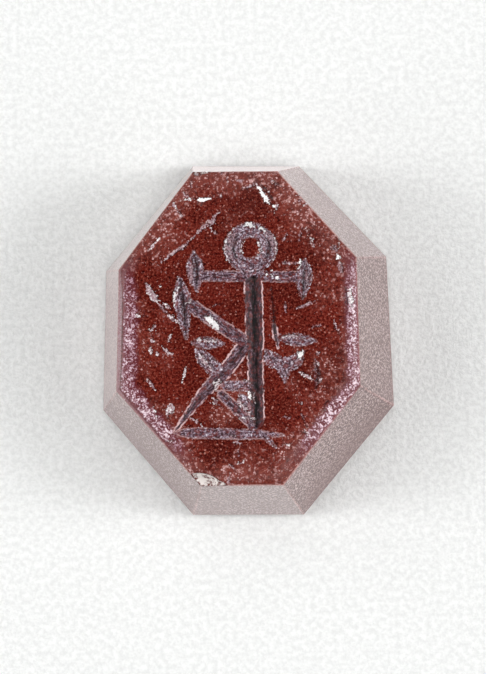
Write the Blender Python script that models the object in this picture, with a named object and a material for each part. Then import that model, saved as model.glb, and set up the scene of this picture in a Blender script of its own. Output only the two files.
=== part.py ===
"""An engraved octagonal ringstone of opaque red jasper.

One stone, ground from one piece: a polished face with a deep-cut sign, eight sloping
flanks that spread down to a girdle, a narrow bevel under it and a flat back.
The stone lies on its back. X runs across it, Y along it and Z up from the back, and the
origin is on the back, under the middle of the girdle.
"""

import math
from collections import namedtuple

import bmesh
import bpy
from mathutils import Vector

MM = 0.001

# The stone's thickness, from its flat back to the top of the polished face
THICKNESS = 4.0 * MM

# The face: overall width and length, and its short end edges and long side edges
FACE_WIDTH = 9.12 * MM
FACE_LENGTH = 11.87 * MM
FACE_END_EDGE = 3.17 * MM
FACE_SIDE_EDGE = 4.72 * MM

# The girdle stands out past the face by these flares, and has longer edges
SIDE_FLARE = 0.94 * MM
END_FLARE = 0.75 * MM
GIRDLE_END_EDGE = 4.17 * MM
GIRDLE_SIDE_EDGE = 5.52 * MM
GIRDLE_HEIGHT = 0.35 * MM
BACK_BEVEL = 0.3 * MM

# The rounded shoulder between the face and the flanks
SHOULDER_WIDTH = 0.6 * MM
SHOULDER_DROP = 0.24 * MM
SHOULDER_STEPS = 3

# Hand-ground corners stand off the true octagon by these small misses (right, up),
# clockwise from the top left corner
FACE_MISSES = (
    (-0.06, 0.11), (-0.02, 0.04), (-0.08, 0.28), (-0.04, 0.14),
    (-0.03, 0.05), (0.02, 0.08), (-0.14, 0.19), (0.03, 0.05),
)
GIRDLE_MISSES = (
    (0.13, 0.04), (0.06, -0.08), (-0.09, 0.22), (0.08, 0.04),
    (-0.03, -0.13), (-0.11, -0.04), (-0.09, 0.14), (0.11, -0.03),
)

# The engraved sign, from the top of its ring to the underside of its ground line.
# Places and half-widths of its strokes are hundredths of this height, from the middle
# of the face.
SIGN_HEIGHT = 8.1 * MM
GRID = SIGN_HEIGHT / 100

# Places where strokes of the sign meet
RING_CENTRE = (6.3, 37.9)
RING_RADIUS = 8.4
RING_HALF_WIDTH = 3.8
RING_DEPTH = 0.85
BAR_LEFT = (-19.5, 25.6)
BAR_RIGHT = (31.0, 23.7)
SHANK_FOOT = (7.7, -46.5)
ELBOW = (3.6, -6.2)
ARM_TIP = (-25.4, 14.2)
LEG_FOOT = (-31.0, -47.2)

# How the wheel shaped a stroke: its path, its half-width, its depth as a share of that
# half-width, how much of its length each end takes to run out, and where along the
# path it is widest
Stroke = namedtuple("Stroke", "name path half_width depth runout widest")

STROKES = (
    Stroke("bar", (BAR_LEFT, BAR_RIGHT), 2.6, 0.85, 0.06, 0.5),
    Stroke("bar_left_serif", ((-20.2, 37.0), (-19.1, 19.0)), 3.8, 0.95, 0.5, 0.42),
    Stroke("bar_right_serif", ((31.6, 32.0), (30.4, 14.2)), 3.6, 0.95, 0.45, 0.42),
    Stroke("shank", ((7.2, 26.0), SHANK_FOOT), 4.0, 0.85, 0.04, 0.2),
    Stroke("arm", (ARM_TIP, ELBOW), 2.9, 0.85, 0.08, 0.5),
    Stroke("arm_serif", ((-27.2, 24.9), (-24.4, -3.4)), 3.8, 0.95, 0.5, 0.35),
    Stroke("leg", (ELBOW, (-6.2, -18.7), (-16.6, -28.9), LEG_FOOT), 3.1, 0.85, 0.2, 0.4),
    Stroke("ground_line", (LEG_FOOT, (-7.2, -48.3), (20.0, -49.6)), 2.4, 0.7, 0.25, 0.4),
    Stroke("brace", ((-10.1, -28.4), SHANK_FOOT), 2.1, 0.8, 0.1, 0.5),
    Stroke("brace_tail", (SHANK_FOOT, (16.4, -55.4)), 1.3, 0.6, 0.5, 0.2),
    Stroke("tie", ((-8.5, -26.0), (6.0, -26.4)), 1.7, 0.5, 0.2, 0.5),
    Stroke("left_fluke", ((-23.0, -5.1), (-6.8, -6.2)), 2.6, 0.85, 0.5, 0.45),
    Stroke("left_hook", ((-21.0, -8.6), (-16.0, -14.3), (-12.0, -18.0), (-5.4, -19.2)),
           3.5, 0.7, 0.3, 0.5),
    Stroke("right_fluke", ((18.6, -4.7), (35.8, -6.3)), 2.9, 0.85, 0.5, 0.5),
    Stroke("right_hook", ((12.4, -10.0), (15.3, -14.3), (21.0, -16.8), (26.4, -15.2),
                          (30.3, -11.0)), 3.7, 0.6, 0.3, 0.45),
    Stroke("right_drip", ((18.6, -17.6), (21.3, -27.4)), 1.6, 0.5, 0.5, 0.2),
    Stroke("stray_upright", ((16.1, 4.0), (18.2, -9.0)), 1.2, 0.6, 0.5, 0.5),
)

# Later gouges near the head of the face, placed on the same grid but measured from the
# middle of the head edge
GOUGES = (
    Stroke("head_gouge", ((9.2, -4.6), (14.6, -11.4), (19.4, -18.6)), 1.7, 0.6, 0.4, 0.45),
    Stroke("head_scrape", ((-25.0, -10.9), (-11.6, -12.0)), 1.3, 0.6, 0.5, 0.7),
)

# A stroke's section below the face is a rounded V through these knees, each a share of
# the half-width and of the depth. A cutter stands this far above the face.
SECTION_KNEES = ((0.72, 0.44), (0.36, 0.83))
CUTTER_RISE = 0.08 * MM
STATION_SPACING = 2.2
LEAST_STATIONS = 6
END_SHARE = 0.16
RING_STATIONS = 32

# Breaks at the corners of the face: the corner, the chip's middle from that corner
# (right, up), its half-sizes and its turn in degrees
Chip = namedtuple("Chip", "name corner middle half_sizes turn")

HEAD_LEFT = 0
FOOT_LEFT = 5
CHIPS = (
    Chip("foot_corner_chip", FOOT_LEFT, (0.33, 0.16), (0.76, 0.33, 0.30), -12),
    Chip("head_corner_chip", HEAD_LEFT, (0.22, 0.00), (0.27, 0.15, 0.15), 0),
)
CHIP_SEGMENTS = 14
CHIP_RINGS = 8

# Opaque red jasper, polished on the face
JASPER_COLOUR = (0.125, 0.024, 0.017, 1.0)
JASPER_ROUGHNESS = 0.35

SHARP_ANGLE = math.radians(30)


def clear_scene():
    for thing in list(bpy.data.objects):
        bpy.data.objects.remove(thing)


def octagon(width, length, end_edge, side_edge, misses):
    """Corners of a long octagon, clockwise from its top left, each with its small miss."""
    true_corners = (
        (-end_edge, length), (end_edge, length), (width, side_edge), (width, -side_edge),
        (end_edge, -length), (-end_edge, -length), (-width, -side_edge), (-width, side_edge),
    )
    return [
        (x / 2 + right * MM, y / 2 + up * MM)
        for (x, y), (right, up) in zip(true_corners, misses)
    ]


def face_corners():
    return octagon(FACE_WIDTH, FACE_LENGTH, FACE_END_EDGE, FACE_SIDE_EDGE, FACE_MISSES)


def girdle_corners():
    width = FACE_WIDTH + 2 * SIDE_FLARE
    length = FACE_LENGTH + 2 * END_FLARE
    return octagon(width, length, GIRDLE_END_EDGE, GIRDLE_SIDE_EDGE, GIRDLE_MISSES)


def new_object(name, bm):
    """An object from a bmesh, with every face turned to point out of the body."""
    bmesh.ops.recalc_face_normals(bm, faces=bm.faces)
    mesh = bpy.data.meshes.new(name)
    bm.to_mesh(mesh)
    bm.free()
    thing = bpy.data.objects.new(name, mesh)
    bpy.context.scene.collection.objects.link(thing)
    return thing


def raise_shoulder(bm, face):
    """Insets the face in steps that follow a quarter ellipse, from its edge to the flat."""
    def arc(step):
        angle = math.pi / 2 * step / SHOULDER_STEPS
        return SHOULDER_WIDTH * (1 - math.cos(angle)), SHOULDER_DROP * math.sin(angle)

    for step in range(SHOULDER_STEPS):
        near, low = arc(step)
        far, high = arc(step + 1)
        bmesh.ops.inset_individual(
            bm, faces=[face], thickness=far - near, depth=high - low, use_even_offset=True
        )


def stone_body():
    """The ground stone before engraving: back, bevel, flanks, shoulder and face."""
    bm = bmesh.new()
    edge_height = THICKNESS - SHOULDER_DROP
    girdle = [bm.verts.new((x, y, GIRDLE_HEIGHT)) for x, y in girdle_corners()]
    rim = [bm.verts.new((x, y, edge_height)) for x, y in face_corners()]
    back = bm.faces.new(girdle)
    face = bm.faces.new(reversed(rim))
    for i in range(len(rim)):
        bm.faces.new((girdle[i - 1], rim[i - 1], rim[i], girdle[i]))
    bmesh.ops.recalc_face_normals(bm, faces=bm.faces)
    bmesh.ops.inset_individual(
        bm, faces=[back], thickness=BACK_BEVEL, depth=GIRDLE_HEIGHT, use_even_offset=True
    )
    raise_shoulder(bm, face)
    return new_object("engraved_gem", bm)


def along(path, share):
    """The place and the direction on a smooth curve through the path, share from 0 to 1."""
    points = [Vector(place) for place in path]
    points = [2 * points[0] - points[1], *points, 2 * points[-1] - points[-2]]
    reach = share * (len(path) - 1)
    first = min(int(reach), len(path) - 2)
    t = reach - first
    a, b, c, d = points[first:first + 4]
    place = b + t * (c - a) / 2 + t * t * (a - 2.5 * b + 2 * c - d / 2)
    place += t ** 3 * (1.5 * (b - c) + (d - a) / 2)
    heading = (c - a) / 2 + 2 * t * (a - 2.5 * b + 2 * c - d / 2)
    heading += 3 * t * t * (1.5 * (b - c) + (d - a) / 2)
    return place, heading.normalized()


def fullness(stroke, share):
    """How much of its half-width and depth a stroke has at this share of its length."""
    if share < stroke.widest:
        from_end = share / stroke.widest
    else:
        from_end = (1 - share) / (1 - stroke.widest)
    grown = min(1.0, from_end / (2 * stroke.runout))
    return END_SHARE + (1 - END_SHARE) * math.sin(grown * math.pi / 2)


def section(bm, place, across, half_width, depth):
    """One cross-section of a cutter: a rounded V below the face, open above it."""
    knee_out, knee_down = SECTION_KNEES[0]
    lip = (1 - knee_out) * half_width / (knee_down * depth) * CUTTER_RISE
    right_half = [(half_width + lip, CUTTER_RISE)]
    right_half += [(out * half_width, -down * depth) for out, down in SECTION_KNEES]
    left_half = [(-out, up) for out, up in right_half]
    outline = [*left_half, (0.0, -depth), *reversed(right_half)]
    return [
        bm.verts.new((*(place + across * out), THICKNESS + up))
        for out, up in outline
    ]


def join_sections(bm, rows):
    for before, after in zip(rows, rows[1:]):
        for i in range(len(before)):
            bm.faces.new((before[i - 1], before[i], after[i], after[i - 1]))


def stroke_cutter(stroke, datum=(0.0, 0.0)):
    """A cutter that leaves one wheel-cut stroke in the face, its grid starting at the datum."""
    bm = bmesh.new()
    run = sum(math.dist(a, b) for a, b in zip(stroke.path, stroke.path[1:]))
    stations = max(LEAST_STATIONS, round(run / STATION_SPACING))
    rows = []
    for station in range(stations + 1):
        share = station / stations
        place, heading = along(stroke.path, share)
        across = Vector((-heading.y, heading.x))
        half_width = stroke.half_width * GRID * fullness(stroke, share)
        place = Vector(datum) + place * GRID
        rows.append(section(bm, place, across, half_width, half_width * stroke.depth))
    join_sections(bm, rows)
    bm.faces.new(rows[0])
    bm.faces.new(rows[-1])
    return new_object(stroke.name + "_cutter", bm)


def ring_cutter():
    """The ring at the head of the sign, a round trough."""
    bm = bmesh.new()
    centre = Vector(RING_CENTRE) * GRID
    half_width = RING_HALF_WIDTH * GRID
    rows = []
    for station in range(RING_STATIONS):
        angle = 2 * math.pi * station / RING_STATIONS
        outward = Vector((math.cos(angle), math.sin(angle)))
        place = centre + outward * RING_RADIUS * GRID
        rows.append(section(bm, place, outward, half_width, half_width * RING_DEPTH))
    join_sections(bm, rows + rows[:1])
    return new_object("ring_cutter", bm)


def chip_cutter(chip):
    """A flattened ball whose lower half scoops a chip out of the edge of the face."""
    bm = bmesh.new()
    bmesh.ops.create_uvsphere(bm, u_segments=CHIP_SEGMENTS, v_segments=CHIP_RINGS, radius=1.0)
    bmesh.ops.scale(bm, vec=Vector(chip.half_sizes) * MM, verts=bm.verts)
    cutter = new_object(chip.name + "_cutter", bm)
    middle = Vector(face_corners()[chip.corner]) + Vector(chip.middle) * MM
    cutter.location = (*middle, THICKNESS - SHOULDER_DROP)
    cutter.rotation_euler.z = math.radians(chip.turn)
    return cutter


def cut(body, cutter):
    """Takes the cutter out of the body."""
    cutter.hide_render = True
    cutter.display_type = "WIRE"
    carving = body.modifiers.new(cutter.name, "BOOLEAN")
    carving.operation = "DIFFERENCE"
    carving.solver = "EXACT"
    carving.object = cutter


def jasper():
    stone = bpy.data.materials.new("polished red jasper")
    stone.use_nodes = True
    shader = stone.node_tree.nodes["Principled BSDF"]
    shader.inputs["Base Color"].default_value = JASPER_COLOUR
    shader.inputs["Roughness"].default_value = JASPER_ROUGHNESS
    shader.inputs["Metallic"].default_value = 0.0
    return stone


def main():
    clear_scene()
    gem = stone_body()
    gem.data.materials.append(jasper())
    gem.data.shade_smooth()
    gem.data.set_sharp_from_angle(angle=SHARP_ANGLE)
    cut(gem, ring_cutter())
    for stroke in STROKES:
        cut(gem, stroke_cutter(stroke))
    for gouge in GOUGES:
        cut(gem, stroke_cutter(gouge, datum=(0.0, FACE_LENGTH / 2)))
    for chip in CHIPS:
        cut(gem, chip_cutter(chip))


main()
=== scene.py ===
"""Looks of an engraved octagonal ringstone of opaque red jasper.

The stone lies on its flat back on pale paper and is seen almost straight from above. One
fine mesh stands for the whole stone: a polished face with a wheel-cut sign, worn
shoulders, ground flanks and a ground back. Lengths are in metres, in the frame's axes.
"""

import math
import random
from collections import namedtuple

import bmesh
import bpy
import numpy as np
from mathutils import Matrix, Vector


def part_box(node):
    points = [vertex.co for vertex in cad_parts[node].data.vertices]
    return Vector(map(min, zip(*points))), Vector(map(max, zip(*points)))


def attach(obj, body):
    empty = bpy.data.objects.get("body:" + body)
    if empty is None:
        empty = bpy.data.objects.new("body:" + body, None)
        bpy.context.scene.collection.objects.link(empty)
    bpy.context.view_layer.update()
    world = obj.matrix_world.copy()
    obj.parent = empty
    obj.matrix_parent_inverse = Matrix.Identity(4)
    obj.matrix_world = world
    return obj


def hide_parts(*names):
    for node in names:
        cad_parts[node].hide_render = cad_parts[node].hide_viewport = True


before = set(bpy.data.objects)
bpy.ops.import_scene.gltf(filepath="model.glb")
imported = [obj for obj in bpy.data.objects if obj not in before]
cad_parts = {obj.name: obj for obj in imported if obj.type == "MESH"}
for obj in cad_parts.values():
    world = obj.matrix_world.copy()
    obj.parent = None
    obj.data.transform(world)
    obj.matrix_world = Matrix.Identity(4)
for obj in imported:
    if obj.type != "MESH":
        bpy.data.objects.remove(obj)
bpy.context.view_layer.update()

MM = 0.001
PER_MM = 1 / MM
NODE = "engraved_gem"
LOW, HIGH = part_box(NODE)
THICKNESS = HIGH[2] - LOW[2]

# The stone's outline in millimetres: corners of the face and of the girdle, clockwise
# from the top left corner
FACE_CORNERS = (
    (-1.64, 6.045), (1.57, 5.975), (4.48, 2.64), (4.52, -2.22),
    (1.555, -5.885), (-1.565, -5.84), (-4.70, -2.17), (-4.53, 2.41),
)
GIRDLE_CORNERS = (
    (-1.96, 6.70), (2.14, 6.575), (5.41, 2.98), (5.58, -2.72),
    (2.05, -6.815), (-2.19, -6.725), (-5.59, -2.62), (-5.39, 2.73),
)
HEAD, HEAD_RIGHT, RIGHT, FOOT_RIGHT, FOOT, FOOT_LEFT, LEFT, HEAD_LEFT = range(8)
GIRDLE_HEIGHT = 0.35
BACK_BEVEL = 0.30

# How the face rounds over into each flank: width and drop of the shoulder, by edge
SHOULDERS = {
    HEAD: (0.14, 0.11), HEAD_RIGHT: (0.22, 0.14), RIGHT: (0.55, 0.26),
    FOOT_RIGHT: (0.58, 0.24), FOOT: (0.20, 0.13), FOOT_LEFT: (0.55, 0.24),
    LEFT: (0.55, 0.26), HEAD_LEFT: (0.22, 0.14),
}
# Painted shade and light on each flank, by edge: above nothing the flank is darkened towards the red
# stone, below nothing it is painted paler. This stands in for how differently the lamps and the
# mirrored paper light each flank.
FLANK_PAINTED_SHADE = {
    HEAD: 1.0, HEAD_RIGHT: 0.7, RIGHT: 0.75, FOOT_RIGHT: 0.55, FOOT: 1.0, FOOT_LEFT: 0.85,
    LEFT: 0.05, HEAD_LEFT: -1.0,
}
# The polish also falls gently away from the middle of the face towards its edges
FALL_WIDTH = 1.7
FALL_SLOPE = 0.085
# How softly one edge's shoulder goes over into the next, and how far the shoulder's and the
# fall's corners are rounded
EDGE_BLEND = 0.25
SHOULDER_CORNER = 0.12
FALL_CORNER = 0.45

# Mesh fineness: spacing over the face and along a stroke's wire, rows down a flank, shares of
# the way round the bevel to the back, and the angle from which an edge is drawn sharp
GRID_STEP = 0.035
WIRE_STEP = 0.04
FLANK_ROWS = 10
BEVEL_ROWS = (0.25, 0.6, 1.0)
SHARP_ANGLE = 0.25

# The stone's two finishes, by their place among the mesh's materials
POLISHED, GROUND = range(2)

# Patterns in waves to the millimetre. The real grain and grit are finer than 0.04 mm, which is
# one pixel of the render, so they are drawn as coarse as they need to show.
GRAIN = 8.5
FINE_GRAIN = 13.0
BLOBS = 6.5
GRIT = 12.0
PAPER_TOOTH = 5.0
JASPER_IOR = 1.54

# The sign's strokes, on a grid of hundredths of its height, from the middle of the face
SIGN_HEIGHT = 8.1
SIGN_GRID = SIGN_HEIGHT / 100
RING_CENTRE = (6.3, 37.9)
RING_RADIUS = 8.4
BAR_LEFT = (-19.5, 25.6)
BAR_RIGHT = (31.0, 23.7)
SHANK_FOOT = (7.7, -46.5)
ELBOW = (3.6, -6.2)
ARM_TIP = (-25.4, 14.2)
LEG_FOOT = (-31.0, -47.2)

# A stroke: its path, half-width, depth as a share of that, how much of its length each
# end takes to run out, where along the path it is widest, and how pale it is inside
Stroke = namedtuple("Stroke", "path half_width depth runout widest pale")


def ring_arc(first, last, radius=RING_RADIUS):
    """An arc about the ring's middle, between two numbers of degrees past its top."""
    turns = [math.radians(first + (last - first) * step / 24) for step in range(25)]
    return tuple(
        (RING_CENTRE[0] + radius * math.sin(t), RING_CENTRE[1] + radius * math.cos(t))
        for t in turns
    )


SIGN = tuple(Stroke(*row) for row in (
    # The ring, its wider sides, and the bruise between ring and bar
    (ring_arc(0, 390), 3.3, 0.85, 0.0, 0.5, 0.85),
    (ring_arc(35, 145), 3.9, 0.8, 0.4, 0.5, 1.0),
    (ring_arc(215, 325), 3.9, 0.8, 0.4, 0.5, 1.1),
    (((3.0, 27.5), (10.5, 27.0)), 3.3, 0.5, 0.3, 0.5, 0.9),
    # Bar and serifs
    ((BAR_LEFT, BAR_RIGHT), 2.3, 0.8, 0.06, 0.5, 0.5),
    (((-20.2, 36.8), (-19.1, 18.6)), 3.8, 0.95, 0.5, 0.42, 0.85),
    (((31.4, 31.8), (30.2, 13.9)), 3.6, 0.95, 0.45, 0.42, 0.9),
    # Shank, in two cuts
    (((7.2, 26.0), (7.35, 9.0), (7.5, -14.0)), 4.0, 0.85, 0.12, 0.3, -0.7),
    (((7.2, 24.0), SHANK_FOOT), 3.4, 0.9, 0.05, 0.5, -0.55),
    # Arm, its serif, and the leg
    ((ARM_TIP, ELBOW), 2.9, 0.85, 0.08, 0.5, 0.4),
    (((-27.2, 24.9), (-24.4, -3.4)), 3.8, 0.95, 0.5, 0.35, 0.65),
    ((ELBOW, (-6.2, -18.7), (-16.6, -28.9), LEG_FOOT), 3.1, 0.85, 0.34, 0.12, 0.2),
    # Ground line, brace and its tail, tie, and the bruise under it
    ((LEG_FOOT, (-7.2, -48.3), (20.0, -49.6)), 2.3, 0.7, 0.3, 0.35, 0.5),
    (((-10.1, -28.4), SHANK_FOOT), 2.1, 0.8, 0.1, 0.5, 0.4),
    ((SHANK_FOOT, (16.4, -55.4)), 1.3, 0.6, 0.5, 0.2, 0.6),
    (((-8.5, -26.0), (6.0, -26.4)), 2.3, 0.4, 0.2, 0.5, 0.75),
    (((0.2, -30.0), (5.4, -39.5)), 2.5, 0.3, 0.4, 0.4, 0.95),
    # Left fluke and hook
    (((-22.0, -5.4), (-7.0, -6.4)), 2.7, 0.85, 0.5, 0.45, 0.7),
    (((-20.0, -8.8), (-15.4, -14.0), (-11.6, -17.8), (-5.4, -19.4)),
     3.3, 0.7, 0.3, 0.5, 0.8),
    # Right fluke, hook and drip, and the stray upright over them
    (((18.6, -4.7), (35.8, -6.3)), 2.9, 0.85, 0.5, 0.5, 0.75),
    (((12.4, -10.0), (15.3, -14.3), (21.0, -16.8), (26.4, -15.2), (30.3, -11.0)),
     3.2, 0.5, 0.3, 0.4, 0.7),
    (((20.2, -15.5), (21.4, -25.0)), 3.2, 0.2, 0.5, 0.1, 0.6),
    (((16.1, 4.0), (18.2, -9.0)), 1.2, 0.6, 0.5, 0.5, 0.1),
))

# Scratches, gouges and bruises of later wear, with painted glints, painted shade and painted highlights
# among them, on the same grid
WEAR = tuple(Stroke(*row) for row in (
    # Gouge near the head, with a dark line along it
    (((8.9, 69.0), (10.4, 66.6)), 0.7, 0.5, 0.5, 0.5, 0.7),
    (((10.0, 66.9), (12.4, 63.3), (14.4, 60.0), (15.6, 57.2)), 0.95, 0.6, 0.4, 0.45, 1.4),
    (((10.9, 67.8), (14.7, 63.1), (17.0, 58.8)), 0.65, 0.9, 0.4, 0.45, -0.3),
    (((17.6, 57.3), (18.2, 56.7)), 0.6, 0.3, 0.4, 0.5, 1.2),
    # Scrape near the head, and a bruise at the head's left corner
    (((-25.9, 61.0), (-22.5, 61.6), (-18.8, 61.3)), 0.45, 0.4, 0.4, 0.7, 0.9),
    (((-18.6, 61.1), (-15.7, 61.1), (-12.3, 61.8)), 1.0, 0.5, 0.5, 0.4, 1.5),
    (((-18.8, 60.0), (-16.2, 59.6), (-13.6, 60.2)), 0.5, 0.6, 0.5, 0.5, -0.3),
    (((-20.5, 76.6), (-13.0, 75.0)), 0.8, 0.6, 0.5, 0.6, 0.9),
    # Long scratch left of the ring
    (((-8.1, 55.1), (-14.3, 49.2), (-21.9, 42.4)), 0.6, 0.5, 0.3, 0.35, 0.6),
    (((-21.9, 42.4), (-24.7, 39.7), (-28.5, 37.5), (-35.6, 32.5)), 0.6, 0.5, 0.3, 0.4, 0.6),
    (((-9.8, 52.8), (-13.8, 48.2)), 1.3, 0.4, 0.5, 0.5, 0.5),
    # Streaks under the tie, in the flukes and the left hook, and beside the leg
    (((-0.7, -30.6), (0.4, -34.6), (4.4, -38.6)), 0.9, 0.3, 0.5, 0.4, 0.75),
    (((4.3, -29.2), (4.8, -32.6)), 0.7, 0.3, 0.5, 0.4, 1.15),
    (((-18.9, -9.8), (-16.4, -14.4), (-13.2, -17.8)), 0.9, 0.2, 0.5, 0.3, 0.75),
    (((-20.6, -4.4), (-16.0, -4.6), (-10.0, -5.2)), 0.8, 0.2, 0.5, 0.3, 0.8),
    (((19.8, -4.0), (25.0, -3.6), (30.0, -5.2)), 0.6, 0.2, 0.5, 0.4, 0.85),
    (((-9.3, -22.9), (-10.9, -26.6)), 0.9, 0.3, 0.5, 0.4, 0.9),
    # Faint dark line right of the shank
    (((15.3, 19.8), (15.8, 6.0), (16.5, -6.7)), 1.2, 0.2, 0.5, 0.5, -0.2),
    # The wound left of the arm
    (((-43.2, 22.8), (-40.6, 18.4), (-37.6, 13.5)), 1.5, 0.5, 0.4, 0.6, 0.7),
    (((-36.9, 14.7), (-33.6, 12.1), (-30.8, 10.3)), 0.45, 0.5, 0.4, 0.4, 0.7),
    (((-37.2, 13.0), (-35.0, 10.4), (-33.1, 8.4)), 0.6, 0.5, 0.4, 0.4, 0.5),
    (((-33.1, 8.4), (-30.4, 5.8), (-27.6, 3.5)), 0.9, 0.5, 0.4, 0.4, 0.75),
    (((-36.5, 21.2), (-36.2, 20.2)), 0.6, 0.4, 0.4, 0.4, 0.9),
    (((-48.5, 8.2), (-44.5, 7.2)), 0.6, 0.4, 0.4, 0.4, 0.8),
    # Pale edge of the arm's serif, and a painted white glint in the arm
    (((-29.9, 11.6), (-29.9, 15.6), (-27.6, 21.2)), 0.5, 0.2, 0.4, 0.5, 1.1),
    (((-15.6, 7.0), (-12.2, 3.6), (-9.2, 0.4)), 1.45, 0.3, 0.3, 0.5, 1.6),
    # Bruises left of the leg
    (((-31.2, -33.4), (-32.6, -36.4), (-34.2, -38.4)), 1.7, 0.4, 0.5, 0.5, 0.8),
    (((-40.8, -1.9), (-40.0, -5.5)), 0.5, 0.4, 0.5, 0.5, 0.8),
    (((-41.6, -6.7), (-40.8, -10.3)), 0.9, 0.4, 0.5, 0.5, 0.85),
    (((-38.8, -9.5), (-37.6, -11.1)), 0.7, 0.4, 0.5, 0.5, 0.8),
    (((-36.0, -7.1), (-33.8, -9.2), (-32.0, -11.1)), 0.8, 0.4, 0.5, 0.3, 0.7),
    (((-34.5, -10.3), (-30.6, -10.4)), 0.6, 0.4, 0.5, 0.5, 0.7),
    (((-30.8, -0.3), (-33.1, -5.1)), 0.5, 0.4, 0.5, 0.5, 0.8),
    (((-43.1, -21.4), (-39.4, -27.1)), 0.7, 0.4, 0.5, 0.5, 0.6),
    # Marks low on the right, and three hair scratches
    (((35.2, -15.0), (35.8, -22.0), (35.4, -29.0)), 1.6, 0.2, 0.5, 0.5, 0.1),
    (((27.6, -20.4), (31.1, -22.5), (34.9, -24.6)), 0.8, 0.4, 0.5, 0.5, 0.75),
    (((38.1, -24.0), (34.9, -25.7)), 0.7, 0.4, 0.5, 0.5, 0.7),
    (((26.9, 8.8), (36.3, 12.3)), 0.5, 0.4, 0.5, 0.5, 0.5),
    (((23.5, 44.8), (21.5, 41.2)), 0.4, 0.4, 0.5, 0.5, 0.5),
    (((-12.4, 11.3), (-7.3, 11.8)), 0.4, 0.4, 0.5, 0.5, 0.5),
    # Painted white glints at the head of the ring, then painted dark shade and pale painted highlights
    # along its groove
    (((3.8, 48.2), (6.2, 48.8), (8.6, 47.5)), 0.9, 0.2, 0.4, 0.4, 1.6),
    (((10.5, 47.6), (13.6, 45.7)), 0.8, 0.2, 0.4, 0.5, 1.5),
    (((13.9, 45.0), (17.0, 41.4)), 0.6, 0.2, 0.5, 0.4, 1.5),
    (ring_arc(232, 318, 10.0), 1.3, 0.1, 0.5, 0.5, 0.4),
    (ring_arc(238, 302, 7.4), 0.85, 0.3, 0.5, 0.5, -0.5),
    (ring_arc(60, 118, 8.3), 0.85, 0.3, 0.5, 0.5, -0.45),
    (ring_arc(40, 105, 10.4), 1.0, 0.1, 0.5, 0.5, 0.4),
    (ring_arc(235, 325, 12.0), 0.42, 0.2, 0.4, 0.5, 0.8),
    (ring_arc(62, 120, 12.0), 0.42, 0.2, 0.4, 0.5, 0.8),
    (ring_arc(235, 320, 4.3), 0.4, 0.2, 0.4, 0.5, 0.8),
    (ring_arc(50, 130, 4.4), 0.45, 0.2, 0.4, 0.5, 0.9),
    # Painted dark shade and pale painted highlights along the serifs
    (((-19.8, 33.0), (-19.5, 27.0), (-19.6, 22.0)), 0.8, 0.3, 0.4, 0.5, -0.35),
    (((-21.6, 33.0), (-21.9, 27.0), (-21.4, 22.6)), 1.0, 0.2, 0.4, 0.5, 0.45),
    (((30.2, 27.0), (29.8, 22.0), (29.9, 18.0)), 0.7, 0.3, 0.4, 0.5, -0.35),
    (((31.9, 27.5), (32.2, 22.5), (31.6, 18.6)), 1.0, 0.2, 0.4, 0.5, 0.5),
    (((-26.6, 18.6), (-26.0, 11.0), (-25.4, 4.0)), 0.9, 0.3, 0.4, 0.5, -0.35),
    # Painted white glints on and over the bar, and on the right hook
    (((13.0, 25.4), (13.9, 25.1)), 0.7, 0.2, 0.4, 0.5, 1.5),
    (((15.6, 24.2), (16.4, 24.9)), 0.7, 0.2, 0.4, 0.5, 1.5),
    (((17.6, 23.5), (18.8, 23.9)), 0.7, 0.2, 0.4, 0.5, 1.4),
    (((15.4, 27.0), (16.2, 27.2)), 0.5, 0.2, 0.4, 0.5, 1.1),
    (((29.6, 31.8), (28.4, 27.4)), 0.5, 0.3, 0.5, 0.5, 1.2),
    (((27.2, -14.6), (29.6, -10.8)), 1.1, 0.2, 0.5, 0.6, 1.5),
    # Worn right rim towards the head, and two small bruises
    (((43.7, 38.3), (46.2, 34.6)), 1.3, 0.3, 0.5, 0.5, 0.3),
    (((47.2, 30.5), (47.8, 27.5), (48.3, 24.9)), 1.3, 0.3, 0.5, 0.5, 0.55),
    (((46.5, 33.7), (47.2, 31.1)), 1.0, 0.3, 0.5, 0.5, 1.25),
    (((49.7, 17.9), (50.4, 9.1)), 1.2, 0.5, 0.5, 0.5, -0.2),
    (((51.8, 17.5), (52.3, 9.6)), 1.1, 0.3, 0.5, 0.5, 1.0),
    (((36.2, -11.2), (37.4, -12.8)), 0.8, 0.3, 0.5, 0.5, 0.65),
    (((36.5, -16.3), (36.6, -17.6)), 0.8, 0.3, 0.5, 0.5, 0.65),
))

# Patches where the polish is most worn, some of them near the head also carrying painted milky
# reflection: middle and half-sizes in millimetres, and how much. Fine scratches fall by chance, most of
# them in these patches.
WEAR_AND_HAZE_PATCHES = (
    (-2.9, 3.5, 1.2, 1.1, 0.65), (1.3, 4.6, 1.3, 0.9, 0.5), (-3.3, -0.3, 0.8, 1.6, 0.6),
    (3.2, -1.5, 1.0, 1.5, 0.8), (0.5, -5.0, 2.4, 0.8, 0.8), (-2.7, -3.0, 0.9, 1.0, 0.6),
    (-0.1, -2.2, 0.8, 0.6, 0.9), (3.3, 2.0, 1.0, 1.4, 0.6), (-1.6, 5.2, 1.1, 0.7, 0.5),
    (-0.65, -3.2, 0.8, 0.6, 1.3), (2.3, 4.3, 1.0, 0.9, 0.9), (-0.3, 5.3, 1.5, 0.6, 0.6),
    (2.2, -4.2, 0.8, 0.7, 0.9), (-2.5, -3.9, 0.7, 0.8, 0.8),
)
STRAY_SCRATCHES = 80
SCRATCH_SEED = 7

# Chips broken from the edge of the face: middle, half-sizes and turn in degrees
Chip = namedtuple("Chip", "middle half_sizes turn")
CHIPS = (
    Chip((-1.48, -5.74), (0.70, 0.38, 0.30), -12),
    Chip((-0.95, -5.82), (0.58, 0.19, 0.14), -20),
    Chip((-1.44, 6.04), (0.27, 0.15, 0.15), 0),
    Chip((-1.12, 6.02), (0.18, 0.06, 0.08), 0),
)
# How far below the face's highest level a chip's break starts
CHIP_START = 0.12

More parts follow.
